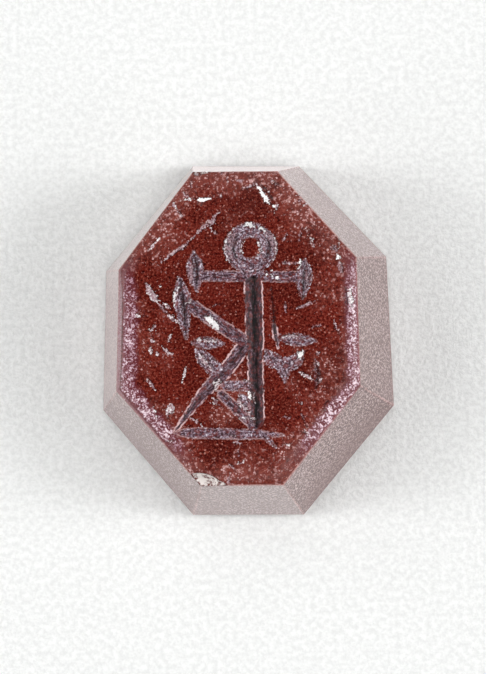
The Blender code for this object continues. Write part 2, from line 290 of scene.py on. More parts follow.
# Softboxes round the stone, each as far off in metres: direction, size in metres and watts
SOFTBOX_DISTANCE = 0.5
SQUARE = (0.17, 0.17)
SOFTBOXES = {
    "left_softbox": ((-1.0, 0.0, 0.5), SQUARE, 0.94),
    "left_softbox_head": ((-0.8, 0.6, 0.6), SQUARE, 0.22),
    "left_softbox_foot": ((-0.87, -0.5, 0.5), SQUARE, 0.33),
    "left_softbox_top": ((-1.0, 0.0, 0.95), SQUARE, 0.34),
    "right_softbox": ((1.0, 0.0, 0.5), SQUARE, 1.36),
    "right_softbox_foot": ((0.87, -0.5, 0.5), SQUARE, 0.36),
    "right_softbox_top": ((1.0, 0.0, 0.95), SQUARE, 0.26),
    "head_softbox": ((0.0, 1.0, 0.95), (0.34, 0.17), 0.18),
    "head_panel": ((0.0, 0.5, 1.0), SQUARE, 0.20),
    "lens_lamp": ((0.18, -0.22, 1.0), (0.15, 0.15), 0.42),
}
ROOM_LIGHT = 0.077

# The camera looks at this point from this many metres off, leaning so many degrees to the
# stone's right and head, and turned so many about its view. The lens is in millimetres.
CAMERA_TARGET = Vector((0.1506, -0.2743, 3.85)) * MM
CAMERA_DISTANCE = 0.180
LEAN_RIGHT, LEAN_HEAD, TURN = (math.radians(angle) for angle in (4.9873, -5.3048, 1.0866))
FOCAL_LENGTH, SENSOR_WIDTH = 255.7, 36.0


def link(thing):
    bpy.context.scene.collection.objects.link(thing)
    return thing


def stray_scratches():
    """Short fine scratches in chance places and directions, most of them in rubbed patches."""
    chance = random.Random(SCRATCH_SEED)
    strokes = []
    for number in range(STRAY_SCRATCHES):
        patch = WEAR_AND_HAZE_PATCHES[number % len(WEAR_AND_HAZE_PATCHES)]
        spread = 0.8 if number % 3 else 2.0
        x = chance.gauss(patch[0], patch[2] * spread) / SIGN_GRID
        y = chance.gauss(patch[1], patch[3] * spread) / SIGN_GRID
        turn, length = chance.uniform(0, math.tau), chance.uniform(2.0, 9.0)
        bend = chance.uniform(-0.4, 0.4)
        start, end = (x, y), (x + length * math.cos(turn), y + length * math.sin(turn))
        middle = ((start[0] + end[0]) / 2 + bend, (start[1] + end[1]) / 2 - bend)
        strokes.append(Stroke((start, middle, end), chance.uniform(0.25, 0.5), 0.4, 0.5,
                              chance.uniform(0.2, 0.8), chance.uniform(0.3, 0.9)))
    return tuple(strokes)


def along(points, share):
    """The place on a smooth curve through the points, share running from 0 to 1."""
    points = [2 * points[0] - points[1], *points, 2 * points[-1] - points[-2]]
    reach = share * (len(points) - 3)
    first = min(int(reach), len(points) - 4)
    t = reach - first
    a, b, c, d = points[first:first + 4]
    place = b + t * (c - a) / 2 + t * t * (a - 2.5 * b + 2 * c - d / 2)
    return place + t ** 3 * (1.5 * (b - c) + (d - a) / 2)


def fullness(stroke, share):
    """How much of its half-width and depth a stroke has at this share of its length."""
    if share < stroke.widest:
        from_end = share / stroke.widest
    else:
        from_end = (1 - share) / (1 - stroke.widest)
    grown = min(1.0, from_end / (2 * stroke.runout)) if stroke.runout else 1.0
    return 0.12 + 0.88 * math.sin(grown * math.pi / 2)


def stroke_lines(name, strokes):
    """A wire of short edges along each stroke. Each of its points knows the stroke's
    half-width, depth and pallor there, the way across it, and the length run so far."""
    places, edges = [], []
    known = {label: [] for label in ("half_width", "depth", "pale", "run", "stroke")}
    across = []
    for number, stroke in enumerate(strokes):
        points = [Vector(point) * SIGN_GRID for point in stroke.path]
        length = sum((b - a).length for a, b in zip(points, points[1:]))
        stations = max(8, round(length / WIRE_STEP))
        for station in range(stations + 1):
            share = station / stations
            ahead = along(points, min(1.0, share + 0.01)) - along(points, max(0.0, share - 0.01))
            if station:
                edges.append((len(places) - 1, len(places)))
            half_width = stroke.half_width * SIGN_GRID * fullness(stroke, share) * MM
            places.append((*(along(points, share) * MM), 0.0))
            across.extend((ahead.y / ahead.length, -ahead.x / ahead.length, 0.0))
            for label, value in (
                ("half_width", half_width), ("depth", half_width * stroke.depth),
                ("pale", stroke.pale), ("run", share * length * MM), ("stroke", number),
            ):
                known[label].append(value)
    mesh = bpy.data.meshes.new(name)
    mesh.from_pydata(places, edges, [])
    for label, values in known.items():
        kind = "INT" if label == "stroke" else "FLOAT"
        mesh.attributes.new(label, kind, "POINT").data.foreach_set("value", values)
    mesh.attributes.new("across", "FLOAT_VECTOR", "POINT").data.foreach_set("vector", across)
    return link(bpy.data.objects.new(name, mesh))


def smooth_step(value, low, high):
    t = np.clip((value - low) / (high - low), 0.0, 1.0)
    return t * t * (3 - 2 * t)


def edge_distances(places):
    """Millimetres from each place to each edge of the face, positive inside it."""
    corners = np.array(FACE_CORNERS)
    runs = np.roll(corners, -1, axis=0) - corners
    inward = np.stack([runs[:, 1], -runs[:, 0]], 1) / np.linalg.norm(runs, axis=1)[:, None]
    return np.stack([(places - corner) @ normal for corner, normal in zip(corners, inward)], 1)


def chip_depths(places):
    """How deep each chip goes below the face at each place in millimetres, and how far
    inside its outline the place is, as a share of its size."""
    depths, within = np.zeros(len(places)), np.full(len(places), -1.0)
    for chip in CHIPS:
        turn = math.radians(chip.turn)
        off = places - np.array(chip.middle)
        u = (off[:, 0] * math.cos(turn) + off[:, 1] * math.sin(turn)) / chip.half_sizes[0]
        v = (off[:, 1] * math.cos(turn) - off[:, 0] * math.sin(turn)) / chip.half_sizes[1]
        ball = np.sqrt(np.clip(1 - u * u - v * v, 0, None)) * chip.half_sizes[2]
        depths = np.maximum(depths, ball)
        within = np.maximum(within, 1 - np.hypot(u, v))
    return depths, within


def edge_shares(distances):
    """How much each edge of the face rules at each place, all eight adding up to 1."""
    shares = np.exp(-distances / EDGE_BLEND)
    return shares / shares.sum(1)[:, None]


def rounded_inset(distances, rounding):
    """Distance to the nearest edge, with the corners between edges rounded off."""
    return -rounding * np.log(np.exp(-distances / rounding).sum(1))


def face_drop(places):
    """How far the polished face lies below its highest level, before engraving, in mm."""
    distances = np.clip(edge_distances(places), 0, None)
    widths, drops = (edge_shares(distances) @ np.array([SHOULDERS[edge] for edge in range(8)])).T
    inset = np.clip(rounded_inset(distances, SHOULDER_CORNER), 0, None)
    inward = np.clip(inset / widths, 0, 1)
    shoulder = drops * (1 - np.sqrt(1 - (1 - inward) ** 2))
    # Beyond the rounded corner the surface keeps falling, so that no ledge is left
    nearest = rounded_inset(distances, FALL_CORNER)
    fall = np.clip(1 - nearest / FALL_WIDTH, 0, 1.3) ** 2 * FALL_WIDTH * FALL_SLOPE / 2
    return shoulder + fall


def fine_face(bm):
    """A fine grid of squares clipped to the face's outline."""
    corners = np.array(FACE_CORNERS)
    low, high = corners.min(0), corners.max(0)
    steps = np.ceil((high - low) / GRID_STEP).astype(int)
    bmesh.ops.create_grid(bm, x_segments=int(steps[0]), y_segments=int(steps[1]), size=0.5)
    middle, span = (low + high) / 2, high - low
    for vert in bm.verts:
        vert.co = (middle[0] + vert.co.x * span[0], middle[1] + vert.co.y * span[1], 0)
    for start, end in zip(FACE_CORNERS, FACE_CORNERS[1:] + FACE_CORNERS[:1]):
        run = Vector(end) - Vector(start)
        bmesh.ops.bisect_plane(
            bm, geom=bm.verts[:] + bm.edges[:] + bm.faces[:], dist=1e-5,
            plane_co=(*start, 0), plane_no=(-run.y, run.x, 0), clear_outer=True,
        )


def rim_loop(bm):
    """The rim's vertices in order, clockwise from the top left corner."""
    start = min(bm.verts, key=lambda v: (v.co.xy - Vector(FACE_CORNERS[0])).length)
    loop, came = [start], None
    while True:
        here = loop[-1]
        onward = [e.other_vert(here) for e in here.link_edges if e.is_boundary]
        onward = [v for v in onward if v is not came]
        if came is None:
            onward.sort(key=lambda v: -v.co.x)
        if onward[0] is start:
            return loop
        came = here
        loop.append(onward[0])


def girdle_places(rim):
    """For each rim place, the place on the girdle straight down its flank."""
    corners, girdle = np.array(FACE_CORNERS), np.array(GIRDLE_CORNERS)
    distances = np.abs(edge_distances(rim))
    result = np.zeros_like(rim)
    for i, place in enumerate(rim):
        edge = int(distances[i].argmin())
        start, end = corners[edge], corners[(edge + 1) % 8]
        share = np.dot(place - start, end - start) / np.dot(end - start, end - start)
        share = min(1.0, max(0.0, share))
        result[i] = girdle[edge] * (1 - share) + girdle[(edge + 1) % 8] * share
    return result


def stone_mesh():
    """The whole stone, fine enough on its face to carry the engraving."""
    bm = bmesh.new()
    fine_face(bm)
    loop = rim_loop(bm)
    thickness = THICKNESS / MM
    flat = np.array([v.co.xy for v in bm.verts])
    drops = face_drop(flat)
    chipped, _ = chip_depths(flat)
    drops = np.maximum(drops, chipped + CHIP_START * (chipped > 0))
    for vert, drop in zip(bm.verts, drops):
        vert.co.z = thickness - drop
    for face in bm.faces:
        face.material_index = POLISHED
        face.smooth = True
    rim = np.array([v.co for v in loop])
    girdle = girdle_places(rim[:, :2])
    outward = girdle - girdle.mean(0)
    outward /= np.linalg.norm(outward, axis=1)[:, None]
    rows = [loop]
    for row in range(1, FLANK_ROWS + 1):
        share = row / FLANK_ROWS
        places = rim[:, :2] * (1 - share) + girdle * share
        heights = rim[:, 2] * (1 - share) + GIRDLE_HEIGHT * share
        rows.append([bm.verts.new((*p, h)) for p, h in zip(places, heights)])
    for share in BEVEL_ROWS:
        places = girdle - outward * BACK_BEVEL * share
        rows.append([bm.verts.new((*p, GIRDLE_HEIGHT * (1 - share))) for p in places])
    for above, below in zip(rows, rows[1:]):
        for i in range(len(above)):
            face = bm.faces.new((above[i - 1], above[i], below[i], below[i - 1]))
            face.material_index = GROUND
            face.smooth = True
    back = bm.faces.new(rows[-1])
    back.material_index = GROUND
    bmesh.ops.recalc_face_normals(bm, faces=bm.faces)
    bm.normal_update()
    for edge in bm.edges:
        kinds = {face.material_index for face in edge.link_faces}
        if len(kinds) == 2 or kinds == {GROUND} and edge.calc_face_angle(0) > SHARP_ANGLE:
            edge.smooth = False
    bmesh.ops.triangulate(bm, faces=[back])
    for vert in bm.verts:
        vert.co *= MM
    mesh = bpy.data.meshes.new("engraved_stone")
    bm.to_mesh(mesh)
    bm.free()
    return mesh


def arris_distances(places):
    """Millimetres from each place to the nearest line where two flanks meet, seen from above."""
    nearest = np.full(len(places), 9.0)
    for top, foot in zip(np.array(FACE_CORNERS), np.array(GIRDLE_CORNERS)):
        run = foot - top
        share = np.clip((places - top) @ run / (run @ run), 0, 1)
        nearest = np.minimum(nearest, np.linalg.norm(places - top - share[:, None] * run, axis=1))
    return nearest


def mark_wear(mesh):
    """Marks the stone, for its materials, with the distance to the face's edge in millimetres, where
    its rim carries worn grain and painted highlights, how much the foot's diagonal edges rule, how worn
    the polish is and where it carries painted milky reflection, where it is chipped, the distance to
    the nearest corner between flanks, and how much painted shade, or below nothing painted light, each
    flank gets."""
    places = np.empty(len(mesh.vertices) * 3)
    mesh.vertices.foreach_get("co", places)
    flat = places.reshape(-1, 3)[:, :2] / MM
    distances = edge_distances(flat)
    nearest = distances.min(1)
    shares = edge_shares(distances)
    left = shares[:, LEFT] + 0.5 * shares[:, FOOT_LEFT]
    sides = shares[:, (RIGHT, FOOT_RIGHT, FOOT_LEFT, LEFT)].sum(1)
    lengthwise = smooth_step(flat[:, 1], -5.4, -3.6) * smooth_step(-flat[:, 1], -3.4, -2.6)
    wear_and_haze = np.zeros(len(flat))
    for x, y, half_width, half_length, amount in WEAR_AND_HAZE_PATCHES:
        off = ((flat[:, 0] - x) / half_width) ** 2 + ((flat[:, 1] - y) / half_length) ** 2
        wear_and_haze = np.maximum(wear_and_haze, amount * np.exp(-off))
    _, chipped = chip_depths(flat)
    for label, values in (
        ("inset", nearest), ("rim", sides * lengthwise), ("left_rim", left * lengthwise),
        ("foot_diagonals", shares[:, FOOT_RIGHT] + 0.6 * shares[:, FOOT_LEFT]),
        ("wear_and_haze", wear_and_haze), ("chip", np.where(nearest > -0.01, chipped, -1.0)),
        ("arris", arris_distances(flat)),
        ("flank_painted_shade", shares @ np.array([FLANK_PAINTED_SHADE[edge] for edge in range(8)])),
    ):
        mesh.attributes.new(label, "FLOAT", "POINT").data.foreach_set("value", values)


# Kinds of node that come up often, each with the settings that go with it. EASE takes a value,
# the ends of its span and the results there, 0 and 1 if not said. OTHER_NOISE is a second
# pattern at the same place, and takes a zero after the place.
PLUS, MINUS, TIMES, TIMES_PLUS, LARGER, UNSIGNED = (
    ("ShaderNodeMath", {"operation": operation})
    for operation in ("ADD", "SUBTRACT", "MULTIPLY", "MULTIPLY_ADD", "MAXIMUM", "ABSOLUTE")
)
EASE = ("ShaderNodeMapRange", {"interpolation_type": "SMOOTHSTEP"})
MIX = ("ShaderNodeMix", {"data_type": "RGBA"})
NOISE = ("ShaderNodeTexNoise", {})
OTHER_NOISE = ("ShaderNodeTexNoise", {"noise_dimensions": "4D"})
NAMED = ("GeometryNodeInputNamedAttribute", {"data_type": "FLOAT"})
KEEP = ("GeometryNodeStoreNamedAttribute", {"data_type": "FLOAT"})
SAME_NUMBER = ("FunctionNodeCompare", {"data_type": "INT", "operation": "EQUAL"})


def linear(hex_colour):
    """An sRGB colour such as #6e2c24 as linear red, green, blue and alpha."""
    parts = [int(hex_colour[i:i + 2], 16) / 255 for i in (1, 3, 5)]
    return (*[p / 12.92 if p <= 0.04045 else ((p + 0.055) / 1.055) ** 2.4 for p in parts], 1.0)


def add(tree, kind, *values, out=None, **settings):
    """Adds a node with its settings, then gives the inputs in use their values or links, in
    order or by the names in a dictionary. A colour is written as sRGB, such as #6e2c24.
    Returns the output of the name asked for, or else the first one in use."""
    kind, usual = kind if isinstance(kind, tuple) else (kind, {})
    node = tree.nodes.new(kind)
    for name, setting in {**usual, **settings}.items():
        setattr(node, name, setting)
    sockets = [socket for socket in node.inputs if socket.enabled]
    if values and isinstance(values[0], dict):
        sockets, values = [node.inputs[name] for name in values[0]], values[0].values()
    for socket, value in zip(sockets, values):
        if isinstance(value, bpy.types.NodeSocket):
            tree.links.new(value, socket)
        elif isinstance(value, str) and value.startswith("#"):
            socket.default_value = linear(value)
        else:
            socket.default_value = value
    return node.outputs[out] if out else next(s for s in node.outputs if s.enabled)


def new_tree(name, sockets):
    """An empty geometry tree that takes a stone and the named values and gives a stone."""
    tree = bpy.data.node_groups.new(name, "GeometryNodeTree")
    tree.interface.new_socket("Stone", in_out="OUTPUT", socket_type="NodeSocketGeometry")
    tree.interface.new_socket("Stone", in_out="INPUT", socket_type="NodeSocketGeometry")
    for label, kind in sockets.items():
        tree.interface.new_socket(label, in_out="INPUT", socket_type="NodeSocket" + kind)
    return tree, tree.nodes.new("NodeGroupInput").outputs, tree.nodes.new("NodeGroupOutput")


def cutting_tree():
    """Sinks a groove into the stone along every stroke of a wire.

    It marks the stone with how far each place is inside a groove, the groove's depth, how
    near its middle line is, and a vector of length run, way across and pallor.
    """
    tree, given, out = new_tree("wheel-cut grooves", {
        "Strokes": "Object", "Stroke Count": "Int", "Ragged Edge": "Float", "Wall Curve": "Float",
        "Rough Floor": "Float", "Crease": "Float", "Inside Mark": "String", "Depth Mark": "String",
        "Crease Mark": "String", "Run Mark": "String", "Face Material": "Material",
    })
    strokes = add(tree, "GeometryNodeObjectInfo", given["Strokes"], out="Geometry")
    place = add(tree, "GeometryNodeInputPosition")
    axes = add(tree, "ShaderNodeSeparateXYZ", place).node.outputs
    flat = add(tree, "ShaderNodeCombineXYZ", axes["X"], axes["Y"])
    uneven = add(tree, MINUS, add(tree, NOISE, flat, 7.0 * PER_MM, 2.0, 0.6), 0.5)
    ragged = add(tree, TIMES, uneven, given["Ragged Edge"])

    stone = given["Stone"]
    for mark, value in (("Inside Mark", -1.0), ("Depth Mark", 0.0), ("Crease Mark", 0.0)):
        stone = add(tree, KEEP, stone, True, given[mark], value)
    stone = add(tree, KEEP, stone, True, given["Run Mark"], (0.0, 0.0, 0.0),
                data_type="FLOAT_VECTOR")
    first = tree.nodes.new("GeometryNodeRepeatInput")
    last = tree.nodes.new("GeometryNodeRepeatOutput")
    first.pair_with_output(last)
    tree.links.new(given["Stroke Count"], first.inputs["Iterations"])
    tree.links.new(stone, first.inputs["Geometry"])

    # One stroke at a time: the nearest point of its wire gives the groove's size there
    number = add(tree, NAMED, "stroke", data_type="INT")
    chosen = add(tree, SAME_NUMBER, number, first.outputs["Iteration"])
    one = add(tree, "GeometryNodeSeparateGeometry", strokes, chosen, domain="POINT")
    reach = add(tree, "GeometryNodeProximity", {"Geometry": one, "Sample Position": flat},
                target_element="EDGES", out="Distance")
    nearest = add(tree, "GeometryNodeSampleNearest", one, flat)
    there = {}
    for label, kind, value in (
        *((name, "FLOAT", add(tree, NAMED, name)) for name in ("half_width", "depth", "run", "pale")),
        ("across", "FLOAT_VECTOR", add(tree, NAMED, "across", data_type="FLOAT_VECTOR")),
        ("centre", "FLOAT_VECTOR", place),
    ):
        there[label] = add(tree, "GeometryNodeSampleIndex", one, value, nearest, data_type=kind)
    off = add(tree, "ShaderNodeVectorMath", flat, there["centre"], operation="SUBTRACT")
    side = add(tree, "ShaderNodeVectorMath", off, there["across"], operation="DOT_PRODUCT")
    run = add(tree, "ShaderNodeCombineXYZ", there["run"], side, there["pale"])

    jagged = add(tree, PLUS, reach, ragged)
    share = add(tree, "ShaderNodeMath", jagged, there["half_width"], operation="DIVIDE",
                use_clamp=True)
    curved = add(tree, "ShaderNodeMath", share, given["Wall Curve"], operation="POWER")
    sunk = add(tree, TIMES, add(tree, MINUS, 1.0, curved), there["depth"])
    inside = add(tree, MINUS, there["half_width"], jagged)
    crease = add(tree, "ShaderNodeMath", share, given["Crease"], operation="DIVIDE")
    crease = add(tree, MINUS, 1.0, crease, use_clamp=True)

    former = add(tree, NAMED, given["Inside Mark"])
    further_in = add(tree, "ShaderNodeMath", inside, former, operation="GREATER_THAN")
    former = add(tree, NAMED, given["Run Mark"], data_type="FLOAT_VECTOR")
    run = add(tree, "ShaderNodeMix", further_in, former, run, data_type="VECTOR")
    stone = add(tree, KEEP, first.outputs["Geometry"], True, given["Run Mark"], run,
                data_type="FLOAT_VECTOR")
    for mark, value in (("Inside Mark", inside), ("Depth Mark", sunk), ("Crease Mark", crease)):
        most = add(tree, LARGER, add(tree, NAMED, given[mark]), value)
        stone = add(tree, KEEP, stone, True, given[mark], most)
    tree.links.new(stone, last.inputs["Geometry"])

    # Lower the face by the deepest groove at each place, with an uneven floor
    sunk = add(tree, NAMED, given["Depth Mark"])
    grit = add(tree, MINUS, add(tree, NOISE, flat, 11.0 * PER_MM, 2.0, 0.7), 0.5)
    grit = add(tree, TIMES_PLUS, grit, given["Rough Floor"], 1.0)
    down = add(tree, TIMES, add(tree, TIMES, sunk, grit), -1.0)
    on_face = add(tree, SAME_NUMBER, add(tree, "GeometryNodeInputMaterialIndex"), POLISHED)
    moved = add(tree, "GeometryNodeSetPosition", {
        "Geometry": last.outputs["Geometry"], "Selection": on_face,
        "Offset": add(tree, "ShaderNodeCombineXYZ", 0.0, 0.0, down),
    })
    real = add(tree, "GeometryNodeRealizeInstances", moved)
    finished = add(tree, "GeometryNodeSetMaterial", real, on_face, given["Face Material"])
    tree.links.new(finished, out.inputs["Stone"])
    return tree


def give_tree(thing, tree, values):
    """Adds the tree to the object as a modifier, with its inputs set by their identifiers."""
    modifier = thing.modifiers.new(tree.name, "NODES")
    modifier.node_group = tree
    for item in tree.interface.items_tree:
        if item.item_type == "SOCKET" and item.in_out == "INPUT" and item.name in values:
            modifier[item.identifier] = values[item.name]


def made_plain(thing, name):
    """The object's evaluated mesh as a plain object, its modifiers and old mesh removed."""
    bpy.context.view_layer.update()
    evaluated = thing.evaluated_get(bpy.context.evaluated_depsgraph_get())
    mesh = bpy.data.meshes.new_from_object(evaluated)
    bpy.data.objects.remove(thing)
    mesh.name = name
    return link(bpy.data.objects.new(name, mesh))


def new_material(name, *mark_names):
    """A material, its node tree, the place on the object, and what the mesh has marked there."""
    material = bpy.data.materials.new(name)
    material.use_nodes = True
    tree = material.node_tree
    place = add(tree, "ShaderNodeTexCoord", out="Object")
    marks = {
        label: add(tree, "ShaderNodeAttribute", attribute_name=label, out="Fac")
        for label in mark_names
    }
    return material, tree, place, marks


def give_surface(tree, colour, height, rise, fixed):
    """Sets the surface's colour, fine relief of so many millimetres, and fixed values."""
    surface = tree.nodes["Principled BSDF"]
    tree.links.new(colour, surface.inputs["Base Color"])
    bump = add(tree, "ShaderNodeBump", {"Height": height, "Strength": 1.0, "Distance": rise * MM})
    tree.links.new(bump, surface.inputs["Normal"])
    for name, value in fixed.items():
        surface.inputs[name].default_value = value
    return surface


def specks(tree, place, waves, share, size):
    """Small round specks in a share of the cells of an uneven grid, with soft edges."""
    distance = add(tree, "ShaderNodeTexVoronoi", place, waves * PER_MM, out="Distance")
    chance = add(tree, "ShaderNodeSeparateColor", distance.node.outputs["Color"]).node.outputs
    chosen = add(tree, "ShaderNodeMath", chance["Red"], share, operation="LESS_THAN")
    reach = add(tree, TIMES_PLUS, chance["Green"], size, 0.3 * size)
    near = add(tree, MINUS, reach, distance)
    return add(tree, TIMES, chosen, add(tree, EASE, near, 0.0, 0.35 * size))


def lay(tree, under, over, value, *span):
    """Lays one colour over another, the more the further a value is along its span."""
    return add(tree, MIX, add(tree, EASE, value, *span), under, over)


def fade(tree, value, by, *span):
    """A value times another one that eases along its span."""
    return add(tree, TIMES, value, add(tree, EASE, by, *span))


def sound_polish(tree, place, grain, fine):
    """Colour of the unworn polish: dark red with finer dark and light grain."""
    mottle = add(tree, NOISE, place, 0.6 * PER_MM, 3.0, 0.6)
    colour = lay(tree, "#520d06", "#6a1a11", mottle, 0.35, 0.65)
    dark = add(tree, PLUS, add(tree, EASE, grain, 0.50, 0.38, 0.0, 0.7),
               add(tree, EASE, fine, 0.49, 0.38, 0.0, 0.6))
    colour = add(tree, MIX, dark, colour, "#2c0301")
    light = add(tree, PLUS, add(tree, EASE, grain, 0.52, 0.62, 0.0, 0.3),
                add(tree, EASE, fine, 0.54, 0.66, 0.0, 0.7))
    return add(tree, MIX, light, colour, "#934a3c")


def wear_and_painted_sheen(tree, place, marks, grain, blobs, colour):
    """Lays a veil, curls and specks over the polish: the veil is partly dulled wear and partly painted
    milky reflection of the polish, the curls are painted glints, and the specks are wear. They crowd
    towards the edge and in the worn patches."""
    patches = add(tree, NOISE, place, 1.1 * PER_MM, 4.0, 0.8)
    near_edge = add(tree, EASE, marks["inset"], 0.0, 1.3, 0.45, 0.0)
    crowd = add(tree, TIMES_PLUS, marks["wear_and_haze"], 0.55, near_edge)
    crowd = add(tree, PLUS, crowd, add(tree, EASE, patches, 0.40, 0.66, -0.15, 0.35))
    # The veil: partly dulled wear, partly painted milky reflection of the polish.
    veil = add(tree, EASE, crowd, 0.1, 0.9, 0.0, 0.5)
    veil = fade(tree, veil, blobs, 0.38, 0.58, 0.5, 1.0)
    colour = add(tree, MIX, veil, colour, "#98534a")
    worn = add(tree, EASE, add(tree, TIMES_PLUS, crowd, 0.11, blobs), 0.64, 0.73)
    colour = add(tree, MIX, add(tree, TIMES, worn, 0.6), colour, "#b38480")
    # Painted glints: pale curls along narrow wavy lines.
    wave = add(tree, OTHER_NOISE, place, 0.0, 2.7 * PER_MM, 2.0, 0.55)
    curl = add(tree, UNSIGNED, add(tree, MINUS, wave, 0.5))
    curl = fade(tree, add(tree, EASE, curl, 0.028, 0.010), crowd, 0.2, 0.8)
    curl = fade(tree, curl, blobs, 0.47, 0.56, 0.0, 0.8)
    colour = add(tree, MIX, curl, colour, "#cfa3a1")
    many = add(tree, TIMES_PLUS, crowd, 0.35, 0.16)
    dots = add(tree, LARGER, specks(tree, place, 6.5, many, 0.26),
               specks(tree, place, 10.0, many, 0.34))
    dots = fade(tree, dots, grain, 0.36, 0.58, 0.3, 1.0)
    dot = lay(tree, "#b5786d", "#dcb6b6", crowd, 0.2, 0.7)
    return add(tree, MIX, dots, colour, dot), worn


def worn_rim_and_highlights(tree, place, marks, fine, blobs, colour):
    """Lays the worn rim over the colour: along the long sides a granular band that is partly worn grain
    and partly painted highlight of the side lamps on the rounded shoulders, with curved ribs towards
    the foot; a painted haze, and on the left a narrow painted dark line, near the edge; a painted
    highlight along the face's very edge; and on the left a dull strip outside the band."""
    inset, rim, left = marks["inset"], marks["rim"], marks["left_rim"]
    within = add(tree, TIMES_PLUS, left, -0.21, inset)
    wander = add(tree, MINUS, add(tree, NOISE, place, 2.4 * PER_MM, 2.0, 0.6), 0.5)
    wander = add(tree, TIMES_PLUS, wander, 0.35, within)
    inner = add(tree, EASE, add(tree, TIMES_PLUS, left, -0.14, wander), 0.68, 0.26)
    band = add(tree, TIMES, add(tree, EASE, wander, -0.06, 0.10), inner)
    band = add(tree, TIMES, band, rim)
    pieces = add(tree, MINUS, add(tree, NOISE, place, 3.4 * PER_MM, 2.0, 0.6), 0.5)
    bright = add(tree, TIMES_PLUS, add(tree, MINUS, fine, 0.5), 3.0, 0.53)
    bright = add(tree, TIMES_PLUS, pieces, 1.1, bright)
    bright = add(tree, TIMES_PLUS, left, -0.05, bright)
    ribs = add(tree, TIMES, add(tree, NOISE, place, 3.0 * PER_MM, 2.0, 0.6), 30.0)
    ribs = add(tree, TIMES, add(tree, "ShaderNodeMath", ribs, operation="SINE"), marks["foot_diagonals"])
    bright = add(tree, TIMES, add(tree, TIMES_PLUS, ribs, 0.38, bright), band)
    # Painted haze: a soft reflection laid near the edge of the long sides.
    haze = add(tree, TIMES, add(tree, EASE, within, 0.55, 0.05, 0.0, 0.6), rim)
    colour = add(tree, MIX, haze, colour, "#94505a")
    # The band: partly worn grain, partly painted highlight of the side lamps on the rounded shoulders,
    # its white peaks painted glints.
    colour = lay(tree, colour, "#652c33", band, 0.0, 0.8, 0.0, 0.75)
    colour = lay(tree, colour, "#aa808d", bright, 0.36, 0.56)
    colour = lay(tree, colour, "#efdae2", bright, 0.66, 0.90)
    dull = add(tree, TIMES, add(tree, EASE, within, 0.0, -0.05), left)
    dull = fade(tree, dull, fine, 0.38, 0.56, 0.4, 1.0)
    colour = add(tree, MIX, dull, colour, "#a0858a")
    # Painted shade: a narrow dark line along the outer side of the left band, where the shoulder turns
    # away from the lamps.
    line = add(tree, EASE, add(tree, UNSIGNED, within), 0.05, 0.01)
    broken = add(tree, TIMES, left, add(tree, EASE, blobs, 0.40, 0.52, 0.2, 0.9))
    colour = add(tree, MIX, add(tree, TIMES, line, broken), colour, "#4c2422")
    # Painted highlight: a salmon line along the face's very edge, where its arris would catch the
    # light.
    edge = fade(tree, add(tree, EASE, inset, 0.055, 0.015), blobs, 0.36, 0.52, 0.3, 0.8)
    edge = fade(tree, edge, rim, 0.0, 1.0, 1.0, 0.35)
    return add(tree, MIX, edge, colour, "#c48f89")


def frosted_grooves(tree, run, fine, blobs, pale):
    """Colour of the grooves: slate grey with streaks that follow the wheel, the palest of them painted
    highlights on the walls. Pale strokes are the most granular."""
    drawn = add(tree, "ShaderNodeVectorMath", run, (0.22, 1.0, 0.02), operation="MULTIPLY")
    streak = add(tree, NOISE, drawn, 12.0 * PER_MM, 2.0, 0.7)
    grainy = add(tree, TIMES, add(tree, MINUS, fine, 0.5), add(tree, EASE, pale, 0.0, 0.7, 0.6, 1.5))
    bright = add(tree, TIMES_PLUS, streak, 0.85, add(tree, TIMES_PLUS, pale, 0.12, grainy))
    bright = add(tree, MINUS, bright, 0.165)
    colour = lay(tree, "#3a1d24", "#7a5e6b", bright, 0.22, 0.34)
    colour = lay(tree, colour, "#b1a1b0", bright, 0.35, 0.50)
    # Painted highlight: the brightest streaks go near white.
    colour = lay(tree, colour, "#e9e3ec", bright, 0.50, 0.62)
    return lay(tree, colour, "#80322c", blobs, 0.48, 0.60, 0.0, 0.6), streak


